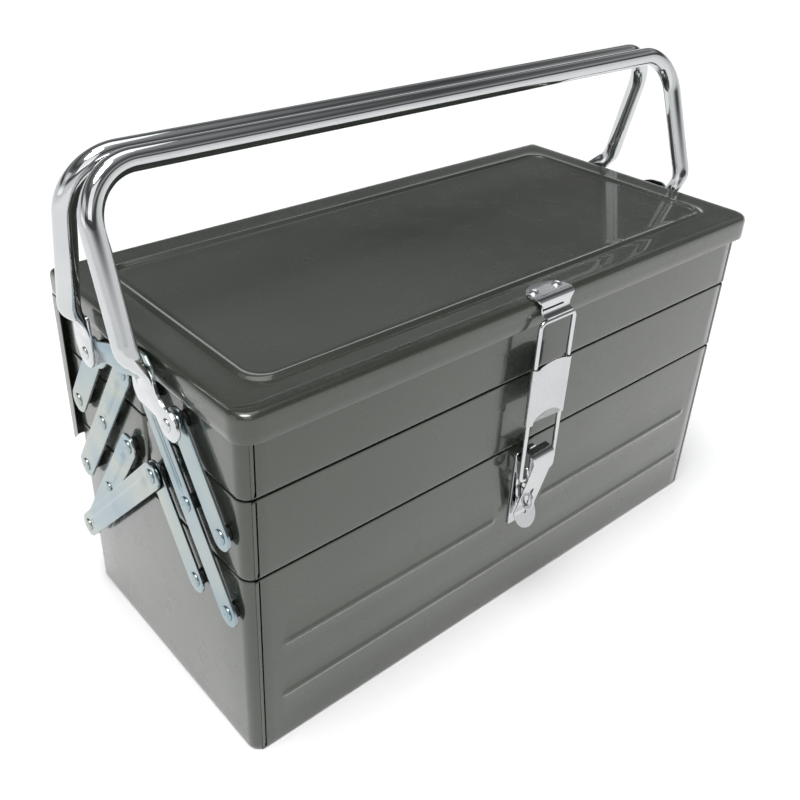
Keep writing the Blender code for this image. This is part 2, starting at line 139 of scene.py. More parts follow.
def paint_material():
    n = Net("gunmetal_enamel")
    cloud = n.noise(9.0, 2.0)
    flake = n.noise(5200.0, 1.0)
    base = n.ramp(cloud, [(0.32, (0.047, 0.053, 0.042)), (0.68, (0.056, 0.063, 0.050))])
    fleck = n.ramp(flake, [(0.45, (0.80, 0.80, 0.80)), (0.62, (1.28, 1.28, 1.26))])
    n.link(n.mix(1.0, base, fleck, "MULTIPLY"), n.bsdf.inputs["Base Color"])
    n.link(n.span(n.noise(60.0, 4.0), 0.22, 0.29), n.bsdf.inputs["Roughness"])
    n.bsdf.inputs["Metallic"].default_value = 0.5
    n.bsdf.inputs["Coat Weight"].default_value = 0.85
    n.bsdf.inputs["Coat Roughness"].default_value = 0.025
    n.link(n.bump(n.noise(140.0, 1.0), 0.012, 0.0002), n.bsdf.inputs["Normal"])
    return n.m


def inside_material():
    n = Net("gunmetal_enamel_inside")
    base = n.ramp(n.noise(12.0, 3.0), [(0.3, (0.075, 0.080, 0.070)), (0.7, (0.105, 0.110, 0.098))])
    n.link(base, n.bsdf.inputs["Base Color"])
    n.link(n.span(n.noise(90.0, 4.0), 0.32, 0.44), n.bsdf.inputs["Roughness"])
    n.bsdf.inputs["Metallic"].default_value = 0.5
    n.link(n.bump(n.noise(500.0, 2.0), 0.08, 0.0004), n.bsdf.inputs["Normal"])
    return n.m


def zinc_material(name="zinc_plate", tint=0.0):
    n = Net(name)
    cloud = n.noise(17.0, 2.0, 0.45)
    tone = n.ramp(cloud, [(0.30, (0.26 + tint, 0.35, 0.40)), (0.47, (0.36 + tint, 0.42, 0.43)), (0.60, (0.42 + tint, 0.45, 0.41)), (0.74, (0.28 + tint, 0.37, 0.42))])
    grain = n.ramp(n.noise(1500.0, 2.0), [(0.35, (0.93, 0.93, 0.93)), (0.65, (1.04, 1.04, 1.04))])
    n.link(n.mix(1.0, tone, grain, "MULTIPLY"), n.bsdf.inputs["Base Color"])
    n.link(n.span(n.noise(120.0, 3.0, 0.5), 0.16, 0.22), n.bsdf.inputs["Roughness"])
    n.bsdf.inputs["Metallic"].default_value = 1.0
    n.link(n.bump(n.noise(1400.0, 2.0), 0.05, 0.0002), n.bsdf.inputs["Normal"])
    return n.m


def chrome_material(name="bright_chrome", low=0.045, high=0.10, grey=0.80):
    n = Net(name)
    haze = n.noise(35.0, 4.0)
    tone = n.ramp(haze, [(0.3, (grey - 0.035, grey - 0.02, grey - 0.01)), (0.7, (grey + 0.02, grey + 0.03, grey + 0.035))])
    n.link(tone, n.bsdf.inputs["Base Color"])
    n.link(n.span(n.noise(120.0, 5.0, 0.65), low, high), n.bsdf.inputs["Roughness"])
    n.bsdf.inputs["Metallic"].default_value = 1.0
    n.link(n.bump(n.noise(45.0, 1.0), 0.02, 0.0005), n.bsdf.inputs["Normal"])
    return n.m


def painted_shade_material():
    # near-black stand-in for zinc: painted shade for the spacer washers, which sit in shadow behind the straps
    n = Net("painted_shade_black")
    n.link(n.ramp(n.noise(300.0, 3.0), [(0.3, (0.012, 0.012, 0.013)), (0.7, (0.035, 0.034, 0.036))]), n.bsdf.inputs["Base Color"])
    n.link(n.span(n.noise(200.0, 3.0), 0.35, 0.6), n.bsdf.inputs["Roughness"])
    n.bsdf.inputs["Metallic"].default_value = 0.6
    return n.m


PAINT, INSIDE = paint_material(), inside_material()
ZINC, ZINC_RIVET = zinc_material(), zinc_material("zinc_rivet", 0.05)
CHROME, SATIN = chrome_material("bright_chrome", 0.04, 0.08, 0.60), chrome_material("satin_chrome", 0.22, 0.30, 0.56)
PAINTED_SHADE = painted_shade_material()


# ================================================================ mesh helpers
def finish_mesh(name, bm, mat, body, nodes, angle=30, mats=None):
    bmesh.ops.remove_doubles(bm, verts=bm.verts, dist=1e-7)
    bmesh.ops.recalc_face_normals(bm, faces=bm.faces)
    me = bpy.data.meshes.new(name)
    bm.to_mesh(me)
    bm.free()
    ob = bpy.data.objects.new(name, me)
    bpy.context.scene.collection.objects.link(ob)
    for m in (mats or [mat]):
        me.materials.append(m)
    me.shade_smooth()
    me.set_sharp_from_angle(angle=math.radians(angle))
    if body:
        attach(ob, body)
        if nodes:
            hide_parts(*nodes)
    return ob


def apply_modifiers(ob):
    bpy.context.view_layer.update()
    me = bpy.data.meshes.new_from_object(ob.evaluated_get(bpy.context.evaluated_depsgraph_get()))
    ob.modifiers.clear()
    old = ob.data
    ob.data = me
    bpy.data.meshes.remove(old)


def add_rings(bm, rings, cap0=True, cap1=True, mat=0, closed=True):
    rows = [[bm.verts.new(Vector(p) * MM) for p in ring] for ring in rings]
    n = len(rows[0])
    for a, b in zip(rows, rows[1:]):
        for i in range(n if closed else n - 1):
            j = (i + 1) % n
            f = bm.faces.new((a[i], a[j], b[j], b[i]))
            f.material_index = mat
    if cap0:
        bm.faces.new(rows[0][::-1]).material_index = mat
    if cap1:
        bm.faces.new(rows[-1]).material_index = mat
    return rows


def corner_rect(x0, x1, y0, y1, radii, inset, steps=7, xs=(), ys=()):
    """Rounded rectangle, counter-clockwise from the +X -Y corner, with extra points at xs and ys along the straight sides."""
    x0, x1, y0, y1 = x0 + inset, x1 - inset, y0 + inset, y1 - inset
    out = []
    spec = ((x1, y0, -90), (x1, y1, 0), (x0, y1, 90), (x0, y0, 180))
    for i, ((cx, cy, a0), r) in enumerate(zip(spec, radii)):
        sx = 1 if cx == x1 else -1
        sy = 1 if cy == y1 else -1
        for k in range(steps + 1):
            a = math.radians(a0 + 90 * k / steps)
            out.append((cx - sx * r + r * math.cos(a), cy - sy * r + r * math.sin(a)))
        if i == 0:
            out += [(x1, y) for y in sorted(ys)]
        elif i == 1:
            out += [(x, y1) for x in sorted(xs, reverse=True)]
        elif i == 2:
            out += [(x0, y) for y in sorted(ys, reverse=True)]
        else:
            out += [(x, y0) for x in sorted(xs)]
    return out


def ridge(z, zc, half):
    t = abs(z - zc) / half
    return 0.5 * (1 + math.cos(math.pi * t)) if t < 1 else 0.0


def ramp_in(x, a, b, soft):
    """1 between a and b, falling smoothly to 0 over soft outside of them."""
    if x < a:
        t = (a - x) / soft
    elif x > b:
        t = (x - b) / soft
    else:
        return 1.0
    return 0.5 * (1 + math.cos(math.pi * t)) if t < 1 else 0.0


def span_points(edges, soft):
    out = set()
    for a, b in edges:
        for k in range(6):
            out.add(round(a - soft * k / 5, 3))
            out.add(round(b + soft * k / 5, 3))
    return out


def sheet_pan(name, node, body, y0, y1, z0, z1, radii, ridges, seams=True, rim=None, beads=()):
    """Folded sheet pan: small floor radius, hemmed rim with a rolled top, pressed ridges on front and back, seams beside the corners.
    ridges: (zc, half height, depth, [(x from, x to)], side) with side -1 for the -Y wall, +1 for the +Y wall."""
    xs = {-213 + 0.0}
    xs = set()
    for _, _, _, runs, _ in ridges:
        xs |= span_points(runs, 5.0)
    if seams:
        for s in (-1, 1):
            xs |= {s * v for v in (207.9, 208.6, 208.9, 209.2, 209.9)}
    xs |= set(range(-200, 201, 25))
    # points closer than 0.25 mm are merged
    xs = sorted(xs)
    keep = []
    for v in xs:
        if abs(v) < 210 and (not keep or v - keep[-1] > 0.25):
            keep.append(v)
    xs = keep
    ys = [y0 + (y1 - y0) * k / 6 for k in range(1, 6)]
    r0 = max(radii)
    zs = [(z0, 2.2), (z0 + 0.25, 1.2), (z0 + 0.8, 0.45), (z0 + 1.6, 0.08), (z0 + 2.4, 0.0)]
    wall = {z0 + 6.0, z1 - 6.5, z1 - 3.0, z1 - 1.4}
    for zc, half, _, _, _ in ridges:
        for k in range(-6, 7):
            wall.add(round(zc + half * k / 6, 3))
    steps_ = 8
    for k in range(1, steps_):
        v = z0 + (z1 - z0) * k / steps_
        if all(abs(v - w) > 2 for w in wall):
            wall.add(v)
    zs += [(z, 0.0) for z in sorted(wall)]
    zs += [(z1 - 0.7, 0.0), (z1 - 0.2, 0.2), (z1, 0.75), (z1, 1.15), (z1 - 0.2, 1.7), (z1 - 0.7, 1.9), (z1 - 9.0, 1.9), (z1 - 9.5, 1.75), (z1 - 9.6, SHEET)]
    inner = [z for z in sorted(wall, reverse=True) if z < z1 - 11 and z > z0 + 4]
    zs += [(z, SHEET) for z in inner]
    zs += [(z0 + 3.2, SHEET), (z0 + 1.6, SHEET + 0.5), (z0 + SHEET, SHEET + 2.2)]
    first_inner = len(zs) - len(inner) - 3
    rings = []
    for i, (z, inset) in enumerate(zs):
        ring = []
        rr = tuple(max(r - inset, 0.2) for r in radii)
        for x, y in corner_rect(-HW, HW, y0, y1, rr, inset, 7, xs, ys):
            zz = z
            if rim:
                zz += (rim(y) - z1) * min(max((z - (z1 - 24)) / 14.0, 0.0), 1.0)
            front = abs(y - (y0 + inset)) < 1e-6
            back = abs(y - (y1 - inset)) < 1e-6
            dy = 0.0
            if z0 + 2.4 <= z <= z1 - 1:
                for zc, half, depth, runs, side in ridges:
                    if (side < 0 and front) or (side > 0 and back):
                        amt = max(ramp_in(x, a, b, 5.0) for a, b in runs)
                        dy += side * depth * amt * ridge(zz, zc, half)
                if seams and i < first_inner and inset == 0 and (front or back) and z0 + 2.4 < z < z1 - 0.9:
                    if 208.5 < abs(x) < 209.3:
                        dy -= (-1 if front else 1) * 0.45
            ring.append((x, y + dy, zz))
        rings.append(ring)
    bm = bmesh.new()
    add_rings(bm, rings)
    for f in bm.faces:
        c = f.calc_center_median() / MM
        inside = (y0 + 0.35 < c.y < y1 - 0.35 and abs(c.x) < HW - 0.35 and c.z > z0 + 0.35 and f.normal.length >= 0)
        f.material_index = 0
    ob = finish_mesh(name, bm, PAINT, body, [node], 35, [PAINT, INSIDE])
    me = ob.data
    mid = (y0 + y1) / 2 * MM
    for p in me.polygons:
        c = p.center
        toward = (mid - c.y) * p.normal.y + (0 - c.x) * p.normal.x
        if (abs(p.normal.z) > 0.9 and p.normal.z > 0 and c.z < (z0 + 3) * MM) or (abs(p.normal.z) < 0.9 and toward > 0 and c.z < (z1 - 9.2) * MM and abs(c.y - y0 * MM) > 0.00035 and abs(c.y - y1 * MM) > 0.00035 and abs(abs(c.x) - HW * MM) > 0.00035):
            p.material_index = 1
    return ob


def band(outline_fn, stations):
    return [outline_fn(*s) for s in stations]


# ================================================================ base and trays
R = 8.0
base_ridges = [(37.0, 3.6, 1.3, [(-191, 195)], -1), (78.0, 3.6, 1.3, [(-189, -26), (28, 190)], -1),
               (37.0, 3.6, 1.1, [(-191, 195)], 1), (78.0, 3.6, 1.1, [(-191, 190)], 1)]
sheet_pan("base_shell", "base_box", "base", -HD, HD, 0.0, BASE_TOP, (R, R, R, R), base_ridges)
fr, rr_ = (R, 3, 3, R), (3, R, R, 3)
sheet_pan("front_mid_shell", "front_mid_tray", "front_mid", -HD, -SPLIT, MID_FLOOR, MID_RIM, fr, [])
sheet_pan("rear_mid_shell", "rear_mid_tray", "rear_mid", SPLIT, HD, MID_FLOOR, MID_RIM, rr_, [])
sheet_pan("front_top_shell", "front_top_tray", "front_top", -HD, -SPLIT, TOP_FLOOR, TOP_RIM, fr, [])


def rear_rim(y):
    t = min(max((y - 85.0) / (HD - 3.0 - 85.0), 0.0), 1.0)
    return TOP_RIM + (REAR_RIM - TOP_RIM) * t


sheet_pan("rear_top_shell", "rear_top_tray", "rear_top", SPLIT, HD, TOP_FLOOR, TOP_RIM, rr_, [], rim=rear_rim)


# ================================================================ lid and rear panel
def lid():
    xs = [v for v in range(-200, 201, 20)]
    ys = [v for v in range(-80, 90, 20)]
    prof = [(LID_EDGE + 8.0, 1.6), (LID_EDGE + 7.6, 0.75), (LID_EDGE + 0.9, 1.5), (LID_EDGE + 0.2, 1.3), (LID_EDGE, 0.8), (LID_EDGE + 0.15, 0.25), (LID_EDGE + 0.8, 0.0),
            (LID_EDGE + 5.0, 0.0), (LID_TOP - 6.0, 0.0), (LID_TOP - 3.6, 0.05), (LID_TOP - 2.6, 0.3), (LID_TOP - 1.7, 0.75), (LID_TOP - 0.95, 1.4), (LID_TOP - 0.4, 2.3), (LID_TOP - 0.1, 3.3)]
    ring_c, ring_h, ring_d = 24.0, 3.2, 1.3
    insets = [4.5, 8.0, 12.0, 16.0] + [ring_c + ring_h * k / 8 for k in range(-8, 9)] + [31.0, 38.0, 50.0, 70.0]
    prof += [(LID_TOP, i) for i in insets]
    rings = []
    for z, inset in prof:
        t = min(inset / 22.0, 1.0)
        base_r = 9.0 + 4.0 * t
        near = max(9.0 - inset, 0.4) if inset < 5 else base_r
        if 3.3 < inset <= 5:
            near = 6.0
        back = 2.5 if inset < 2 else (2.5 + (base_r - 2.5) * min(inset / 22.0, 1.0))
        if inset <= 3.3:
            near = max(9.0 - inset, 0.5)
            back = max(2.5 - inset, 0.5)
        rad = (near, back, back, near)
        ring = []
        for x, y in corner_rect(-LID_HW, LID_HW, LID_FRONT, PANEL_OUT, rad, inset, 9, xs if inset < 70 else [-120, -80, -40, 0, 40, 80, 120], [] if inset >= 70 else ys):
            ring.append((x, y, z))
        rings.append((inset, z, ring))
    # same point count on every ring: clamp side points into the straight part
    out = []
    for inset, z, _ in rings:
        t = min(inset / 22.0, 1.0)
        if inset <= 3.3:
            near, back = 12.0 - inset * 0.9, 4.0 - inset * 0.5
        else:
            near = 9.0 + (13.0 - 9.0) * t
            back = 2.4 + (13.0 - 2.4) * t
        lim_x = LID_HW - inset - 14
        lim_y0, lim_y1 = LID_FRONT + inset + 14, PANEL_OUT - inset - 14
        cx = [v * lim_x / 204.3 for v in xs]
        cy = [lim_y0 + (lim_y1 - lim_y0) * k / (len(ys) - 1) for k in range(len(ys))]
        ring = corner_rect(-LID_HW, LID_HW, LID_FRONT, PANEL_OUT, (near, back, back, near), inset, 9, cx, cy)
        h = z
        if inset > ring_c - ring_h:
            u = (inset - ring_c) / ring_h
            if u < 1:
                h += ring_d * 0.5 * (1 + math.cos(math.pi * u))
            h -= 0.25 * min(max(u, 0) / 1.0, 1.0)
        out.append([(x, y, h) for x, y in ring])
    bm = bmesh.new()
    add_rings(bm, out, cap0=False, cap1=True)
    # underside of the lid, a little below the top
    under = []
    for z, inset in ((LID_EDGE + 8.0, 1.6), (LID_TOP - 3.0, 1.2), (LID_TOP - 1.0, 3.2), (LID_TOP - 0.95, 30.0)):
        near, back = 12.0 - min(inset, 3.2) * 0.9, 4.0 - min(inset, 3.2) * 0.5
        lim_x = LID_HW - inset - 14
        lim_y0, lim_y1 = LID_FRONT + inset + 14, PANEL_OUT - inset - 14
        cx = [v * lim_x / 204.3 for v in xs]
        cy = [lim_y0 + (lim_y1 - lim_y0) * k / (len(ys) - 1) for k in range(len(ys))]
        under.append([(x, y, z) for x, y in corner_rect(-LID_HW, LID_HW, LID_FRONT, PANEL_OUT, (near, back, back, near), inset, 9, cx, cy)])
    add_rings(bm, under[::1], cap0=False, cap1=True, mat=1)
    return finish_mesh("lid_shell", bm, PAINT, "cover", ["lid_cover"], 35, [PAINT, INSIDE])


lid()


def rear_panel():
    """One folded strip: panel with two side flanges and chamfered lower corners."""
    r = 2.2
    outer = [(-LID_HW, FLANGE_IN)]
    for k in range(7):
        a = math.radians(180 - 90 * k / 6)
        outer.append((-LID_HW + r + r * math.cos(a), PANEL_OUT - r + r * math.sin(a)))
    outer += [(v, PANEL_OUT) for v in range(-200, 201, 40)]
    for k in range(7):
        a = math.radians(90 - 90 * k / 6)
        outer.append((LID_HW - r + r * math.cos(a), PANEL_OUT - r + r * math.sin(a)))
    outer.append((LID_HW, FLANGE_IN))
    inner = []
    for x, y in outer:
        k = (LID_HW - SHEET) / LID_HW
        inner.append((x * k, y if y == FLANGE_IN else min(y - SHEET * max((y - FLANGE_IN) / (PANEL_OUT - FLANGE_IN), 0.0), PANEL_OUT - SHEET)))
    ring = outer + inner[::-1]
    rings = []
    for z, cut in ((PANEL_LOW, 5.5), (PANEL_LOW + 2.5, 3.0), (PANEL_LOW + 5.5, 0.0), (150.0, 0.0), (185.0, 0.0), (LID_EDGE - 0.6, 0.0), (LID_EDGE + 0.4, 0.0), (LID_EDGE + 2.5, 0.0)):
        low = []
        k = (LID_HW - 1.0) / LID_HW if z > LID_EDGE else 1.0
        for x, y in ring:
            yy = y + cut if y == FLANGE_IN else y
            low.append((x * k, min(yy, PANEL_OUT - (0.8 if z > LID_EDGE else 0.0)), z))
        rings.append(low)
    bm = bmesh.new()
    add_rings(bm, rings)
    return finish_mesh("rear_panel_shell", bm, PAINT, "cover", [], 35, [PAINT])


rear_panel()


# ================================================================ straps
def capsule_outline(p, q, width, seg=14, grow=0.0):
    r = width / 2 + grow
    a = math.atan2(q[1] - p[1], q[0] - p[0])
    L = math.hypot(q[0] - p[0], q[1] - p[1])
    out = []
    for k in range(seg + 1):
        t = -math.pi / 2 + math.pi * k / seg
        out.append((L + r * math.cos(t), r * math.sin(t)))
    for k in range(seg + 1):
        t = math.pi / 2 + math.pi * k / seg
        out.append((r * math.cos(t), r * math.sin(t)))
    return out, a


def to_world(p, a, pts, x):
    c, s = math.cos(a), math.sin(a)
    return [(x, p[0] + u * c - v * s, p[1] + u * s + v * c) for u, v in pts]


def strap_mesh(name, side, p, q, x_in, x_out, ribs, pivots, spacers, head_x, body, node):
    """Stamped strap: rounded edges, long raised ribs (start, end, offset, half width, height) along it, domed rivets and washers."""
    w = STRAP_W / 2
    L = math.hypot(q[0] - p[0], q[1] - p[1])
    a = math.atan2(q[1] - p[1], q[0] - p[0])
    bm = bmesh.new()
    # outer plate as a fine grid in strap coordinates (u along, v across)
    nu, nv = 96, 32
    us = [-w + (L + 2 * w) * i / nu for i in range(nu + 1)]

    def half_at(u):
        if u < 0:
            return math.sqrt(max(w * w - u * u, 0.0))
        if u > L:
            return math.sqrt(max(w * w - (u - L) ** 2, 0.0))
        return w

    def lift(u, v):
        h = 0.0
        for a0, a1, off, hw, ht in ribs:
            uc = min(max(u, a0), a1)
            d = math.hypot(u - uc, v - off) / hw
            if d < 1:
                h = max(h, ht * (1.0 if d < 0.45 else 0.5 * (1 + math.cos(math.pi * (d - 0.45) / 0.55))))
        return h

    ends = [-w * math.cos(math.pi / 2 * k / 9) for k in range(9)]
    us = ends + [L * k / 60 for k in range(61)] + [L + w * math.sin(math.pi / 2 * k / 9) for k in range(1, 10)]
    rows_out, rows_in = [], []
    edge = 0.35
    for u in us:
        hw_ = max(half_at(u), 0.02)
        ro, ri = [], []
        for k in range(nv + 1):
            f = -1 + 2 * k / nv
            v = hw_ * f
            # distance to the outline, for the rounded edge
            if u < 0:
                d = w - math.hypot(u, v)
            elif u > L:
                d = w - math.hypot(u - L, v)
            else:
                d = w - abs(v)
            d = max(d, 0.0)
            drop = edge - math.sqrt(max(edge * edge - (edge - min(d, edge)) ** 2, 0.0))
            ro.append((u, v, x_out - drop + lift(u, v)))
            ri.append((u, v, x_in + min(lift(u, v), 0.9)))
        rows_out.append(ro)
        rows_in.append(ri)
    c, s = math.cos(a), math.sin(a)

    def vert(u, v, x):
        return bm.verts.new(Vector((side * x, p[0] + u * c - v * s, p[1] + u * s + v * c)) * MM)

    vo = [[vert(*t) for t in r] for r in rows_out]
    vi = [[vert(*t) for t in r] for r in rows_in]
    for A in (vo, vi):
        for r1, r2 in zip(A, A[1:]):
            for k in range(nv):
                bm.faces.new((r1[k], r1[k + 1], r2[k + 1], r2[k]))
    for k in (0, nv):
        for i in range(len(us) - 1):
            bm.faces.new((vo[i][k], vo[i + 1][k], vi[i + 1][k], vi[i][k]))
    for i in (0, len(us) - 1):
        for k in range(nv):
            bm.faces.new((vo[i][k], vo[i][k + 1], vi[i][k + 1], vi[i][k]))
    for (y, z), sp in zip(pivots, spacers):
        rivet(bm, side, y, z, x_out, head_x, 4.6)
        if sp:
            # spacer washer on material slot 1, the near-black painted shade, as it sits in shadow behind the strap
            turned(bm, [(WALL_X + GAP, 0.001), (WALL_X + GAP, 4.3), (WALL_X + GAP + 0.3, 4.6), (x_in - 0.2, 4.6), (x_in, 4.4), (x_in + 0.2, 0.001)], y, z, side, 28, 1)
    return finish_mesh(name, bm, ZINC, body, [node], 40, [ZINC, PAINTED_SHADE])


def turned(bm, profile, cy, cz, side, seg=28, mat=0):
    rows = []
    for x, r in profile:
        rows.append([bm.verts.new(Vector((side * x, cy + r * math.cos(2 * math.pi * k / seg), cz + r * math.sin(2 * math.pi * k / seg))) * MM) for k in range(seg)])
    for a_, b_ in zip(rows, rows[1:]):
        for k in range(seg):
            j = (k + 1) % seg
            bm.faces.new((a_[k], a_[j], b_[j], b_[k])).material_index = mat


def rivet(bm, side, y, z, x0, x1, r, mat=0):
    """Domed head with a soft rolled edge and a small flat on top."""
    h = x1 - x0
    prof = [(x0 - 0.4, r * 0.98), (x0 + 0.02, r), (x0 + h * 0.22, r * 0.985)]
    for k in range(1, 8):
        t = math.radians(90 * k / 8)
        prof.append((x0 + h * (0.22 + 0.78 * math.sin(t)), r * (0.30 + 0.685 * math.cos(t))))
    prof += [(x1 - 0.02, r * 0.27), (x1 - 0.16, r * 0.2), (x1 - 0.2, 0.001)]
    turned(bm, prof, y, z, side, 28, mat)


def up(y, z, n, toward):
    return (y + toward * n * LH, z + n * LV)


FL, FLO, FU = -85.8, -52.7, -83.6
RL, RLO, RU = 83.7, 51.8, 80.3
LK = math.hypot(LH, LV)
for tag, s in (("left", -1), ("right", 1)):
    b0 = (FL, ROW[0])
    strap_mesh(f"front_long_link_{tag}", s, b0, up(*b0, 2, 1), STRAP_IN, STRAP_OUT,
               [(LK + 10, 2 * LK - 13, 0, 2.7, 1.15)],
               [b0, up(*b0, 1, 1), up(*b0, 2, 1)], (1, 1, 1), HEAD_OUT, "front_long_straps", f"front_long_strap_{tag}")
    c0 = (FLO, ROW[0])
    strap_mesh(f"front_lower_link_{tag}", s, c0, up(*c0, 1, 1), STRAP_IN, STRAP_OUT, [],
               [c0, up(*c0, 1, 1)], (1, 1), HEAD_OUT, "front_lower_straps", f"front_lower_strap_{tag}")
    a0 = (FU, ROW[1])
    strap_mesh(f"front_upper_link_{tag}", s, a0, up(*a0, 1, 1), STRAP_IN, STRAP_OUT, [],
               [a0, up(*a0, 1, 1)], (1, 1), HEAD_OUT, "front_upper_straps", f"front_upper_strap_{tag}")
    f0 = (RL, ROW[0])
    strap_mesh(f"rear_long_link_{tag}", s, f0, up(*f0, 2, -1), STRAP_IN, STRAP_OUT,
               [(LK + 14, 2 * LK - 13, 0, 3.1, 1.15)],
               [f0, up(*f0, 1, -1), up(*f0, 2, -1)], (1, 1, 1), HEAD_OUT, "rear_long_straps", f"rear_long_strap_{tag}")
    e0 = (RLO, ROW[0])
    p_, q_ = up(*e0, -1, -1), up(*e0, 1, -1)
    strap_mesh(f"rear_lower_link_{tag}", s, p_, q_, STRAP_IN, STRAP_OUT,
               [(LK + 14, 2 * LK - 13, 0, 3.1, 1.15)],
               [e0, q_], (1, 1), HEAD_OUT, "rear_lower_straps", f"rear_lower_strap_{tag}")
    g0 = (RU, ROW[1])
    strap_mesh(f"rear_upper_link_{tag}", s, g0, up(*g0, 1, -1), STRAP_IN, STRAP_OUT, [],
               [g0, up(*g0, 1, -1)], (1, 1), HEAD_OUT, "rear_upper_straps", f"rear_upper_strap_{tag}")
    p_, q_ = up(*c0, 1, 1), up(*e0, -1, -1)
    LC = math.hypot(q_[0] - p_[0], q_[1] - p_[1])
    strap_mesh(f"cross_bar_{tag}", s, p_, q_, CROSS_IN, CROSS_OUT,
               [(13, LC - 16, 0, 3.2, 0.85)], [p_, q_], (0, 0), CROSS_HEAD, "cross_links", f"cross_link_{tag}")

A1 = up(FU, ROW[1], 1, 1)
G1 = up(RU, ROW[1], 1, -1)


# ================================================================ plates with a rounded outline
def smooth_outline(points, cut=2.2, n=4):
    """Polygon with each corner rounded by a short curve."""
    out = []
    m = len(points)
    for i in range(m):
        p0, p1, p2 = Vector(points[i - 1]), Vector(points[i]), Vector(points[(i + 1) % m])
        d0, d1 = (p0 - p1), (p2 - p1)
        c = min(cut, d0.length * 0.45, d1.length * 0.45)
        a, b = p1 + d0.normalized() * c, p1 + d1.normalized() * c
        for k in range(n + 1):
            t = k / n
            out.append(tuple((1 - t) ** 2 * a + 2 * t * (1 - t) * p1 + t * t * b))
    return out


def shrink(points, d):
    """Outline moved inwards by d."""
    m = len(points)
    area = sum(points[i - 1][0] * points[i][1] - points[i][0] * points[i - 1][1] for i in range(m))
    sg = 1 if area > 0 else -1
    out = []
    for i in range(m):
        a, b, c = Vector(points[i - 1]), Vector(points[i]), Vector(points[(i + 1) % m])
        t = ((b - a).normalized() + (c - b).normalized())
        if t.length < 1e-6:
            t = (c - b)
        t.normalize()
        out.append((b.x - sg * t.y * d, b.y + sg * t.x * d))
    return out


def plate(bm, outline, xa, xb, side, edge=0.35, mat=0):
    """Plate between x=xa (inner) and xb (outer) with rounded outer edges."""
    st = [(xa, edge * 0.6), (xa + edge * 0.6, 0.0), (xb - edge, 0.0), (xb - edge * 0.3, edge * 0.3), (xb, edge)]
    rings = [[(side * x, y, z) for y, z in (shrink(outline, d) if d else outline)] for x, d in st]
    rows = [[bm.verts.new(Vector(p) * MM) for p in ring] for ring in rings]
    n = len(rows[0])
    for a, b in zip(rows, rows[1:]):
        for i in range(n):
            j = (i + 1) % n
            bm.faces.new((a[i], a[j], b[j], b[i])).material_index = mat
    bm.faces.new(rows[0][::-1]).material_index = mat
    bm.faces.new(rows[-1]).material_index = mat


hook_outline = [(-21.5, 221.4), (-8.7, 220.0), (4.5, 215.2), (18.0, 214.1), (22.4, 213.1), (24.5, 211.7), (25.4, 209.9), (28.1, 207.4),
                (31.4, 205.4), (35.0, 204.5), (38.2, 205.8), (39.1, 212.3), (40.9, 218.7), (36.5, 220.8), (7.1, 232.1), (-16.0, 240.2),
                (-26.0, 240.6), (-32.0, 236.0), (-34.0, 228.6), (-31.0, 223.0)]
for tag, s in (("left", -1), ("right", 1)):
    bm = bmesh.new()
    plate(bm, smooth_outline(hook_outline, 1.6), CROSS_IN, CROSS_OUT, s)
    finish_mesh(f"hook_blade_{tag}", bm, ZINC, "front_handle", [f"hook_plate_{tag}"], 40)


# ================================================================ handles
TUBE_X, TUBE_R, BEND_R = 235.2, 6.2, 29.0


def catmull(pts, n):
    """Smooth values through a list of tuples."""
    out = []
    for i in range(len(pts) - 1):
        p0, p1, p2, p3 = pts[max(i - 1, 0)], pts[i], pts[i + 1], pts[min(i + 2, len(pts) - 1)]
        for k in range(n):
            t = k / n
            out.append(tuple(0.5 * (2 * b + (c - a) * t + (2 * a - 5 * b + 4 * c - d) * t * t + (3 * b - a - 3 * c + d) * t ** 3)
                             for a, b, c, d in zip(p0, p1, p2, p3)))
    out.append(tuple(pts[-1]))
    return out


